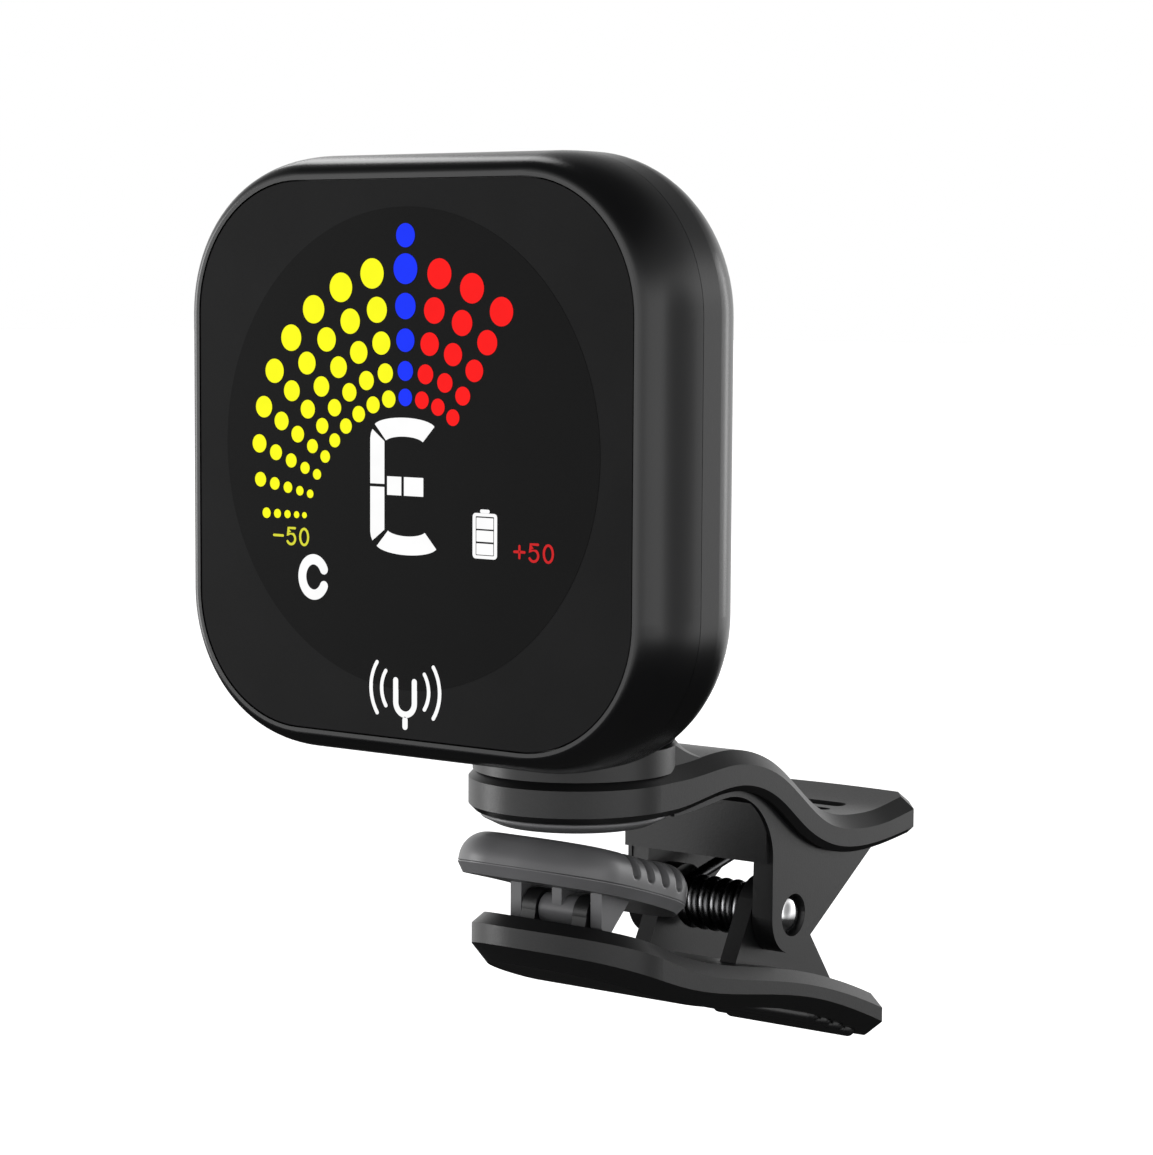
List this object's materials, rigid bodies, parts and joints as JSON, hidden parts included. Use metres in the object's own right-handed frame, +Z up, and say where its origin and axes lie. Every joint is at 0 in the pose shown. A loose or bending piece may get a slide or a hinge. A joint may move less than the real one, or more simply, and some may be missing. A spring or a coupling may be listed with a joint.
{
  "type": "clip-on tuner",
  "caption": "Clip-on instrument tuner: a square tilting display head on a swivelling neck, held by a small sprung clip with a rocking lower jaw pad.",
  "frame": {"origin": "centre of the fixed upper jaw's gripping face, on the axis that the head swivels about", "axes": "+Z up out of the clip along the swivel axis, -Y the way the display faces, +X to the right seen from the front; the jaw opens to the front and its levers run to +Y"},
  "size_m": [0.048, 0.0652, 0.0796],
  "materials": {
    "shell": "satin",
    "window": "gloss",
    "gasket": "matte",
    "lcd": "gloss",
    "diffuser": "satin",
    "flex": "satin",
    "board": "satin",
    "chip": "matte",
    "tape": "matte",
    "cell": "satin",
    "sensor": "satin",
    "receptacle": "satin",
    "switch": "matte",
    "button": "satin",
    "screw": "satin",
    "clip": "fine grain",
    "neck": "satin",
    "jaw_rubber": "satin",
    "pin": "polished",
    "spring": "oiled black",
    "washer": "satin"
  },
  "bodies": {
    "clip": {"upper_lever": "clip", "upper_pad": "jaw_rubber", "pivot_pin": "pin", "torsion_spring": "spring"},
    "neck": {"swivel_neck": "neck", "swivel_washer": "washer", "swivel_screw": "screw"},
    "head": {"front_bezel": "shell", "rear_cover": "shell", "display_window": "window", "window_gasket": "gasket", "lcd_panel": "lcd", "backlight": "diffuser", "display_flex": "flex", "main_board": "board", "sound_chip": "chip", "battery_tape": "tape", "battery_cell": "cell", "piezo_sensor": "sensor", "usb_receptacle": "receptacle", "tact_switches": "switch", "shell_screws": "screw", "board_screws": "screw", "tilt_pin": "pin"},
    "power_button": {"power_button": "button"},
    "mode_button": {"mode_button": "button"},
    "lower_jaw": {"lower_lever": "clip", "rocker_pin": "pin"},
    "rocker": {"rocker_frame": "clip", "rocker_pad": "jaw_rubber"}
  },
  "joints": [
    {"name": "head_swivel", "type": "hinge", "parent": "clip", "child": "neck", "pos_m": [0, 0, 0], "axis": [0, 0, 1], "continuous": true},
    {"name": "head_tilt", "type": "hinge", "parent": "neck", "child": "head", "pos_m": [0, -0.00336, 0.0136], "axis": [-1, 0, 0], "range_deg": [-5, 90]},
    {"name": "jaw_pivot", "type": "hinge", "parent": "clip", "child": "lower_jaw", "pos_m": [0, 0.02204, -0.0106], "axis": [1, 0, 0], "range_deg": [0, 30], "stiffness_Nm_per_rad": 0.1, "springref_deg": -28.65, "deforming": ["torsion_spring"]},
    {"name": "rocker_tilt", "type": "hinge", "parent": "lower_jaw", "child": "rocker", "pos_m": [0, -0.0012, -0.0075], "axis": [1, 0, 0], "range_deg": [-3, 8]},
    {"name": "power_button_press", "type": "slide", "parent": "head", "child": "power_button", "axis": [0, -1, 0], "range_m": [0, 0.00035], "stiffness_N_per_m": 400, "springref_m": -0.0005},
    {"name": "mode_button_press", "type": "slide", "parent": "head", "child": "mode_button", "axis": [0, -1, 0], "range_m": [0, 0.00035], "stiffness_N_per_m": 400, "springref_m": -0.0005}
  ]
}
